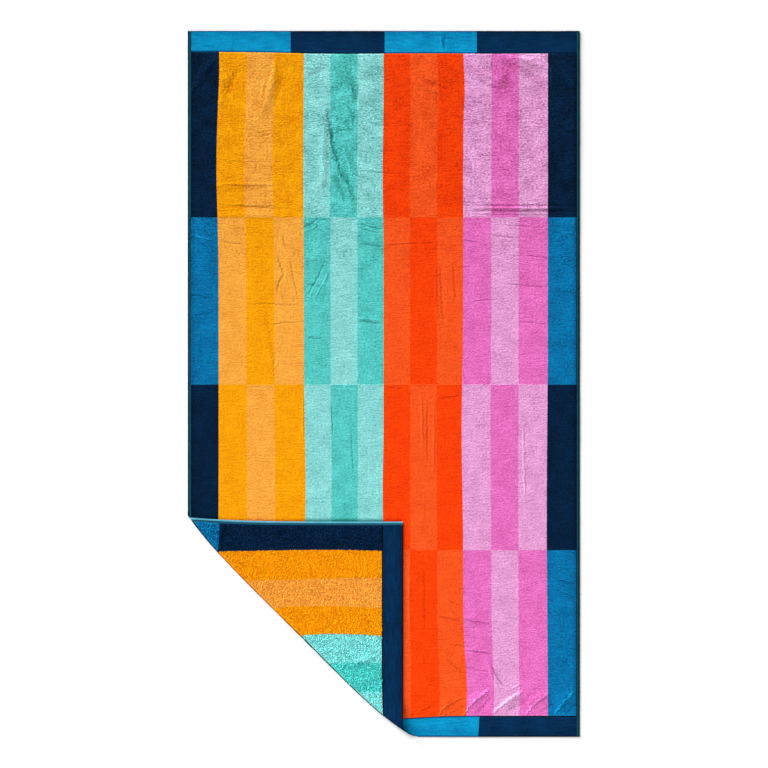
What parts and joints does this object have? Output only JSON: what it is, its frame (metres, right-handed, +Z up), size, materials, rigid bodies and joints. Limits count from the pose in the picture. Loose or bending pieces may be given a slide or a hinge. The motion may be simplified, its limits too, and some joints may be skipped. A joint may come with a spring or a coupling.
{
  "type": "beach towel",
  "caption": "Oblong velour beach towel in block stripes, lying flat with one corner folded over to show its terry reverse.",
  "frame": {"origin": "on the surface the towel lies on, under the middle of its outline", "axes": "+X to the right side hem, +Y to the top end hem along the towel's length, +Z up through the cloth"},
  "size_m": [1.0162, 1.8291, 0.0231],
  "materials": {
    "towel_cloth": "cotton velour sheared on the face and terry loops on the reverse, in block stripes of yellow, aqua, red and pink inside navy and blue edges",
    "hem_cloth": "flat-woven cotton hem, matt, in navy and blue blocks",
    "hem_thread": "matt sewing thread"
  },
  "bodies": {
    "root": {"towel": "towel_cloth"}
  },
  "joints": []
}
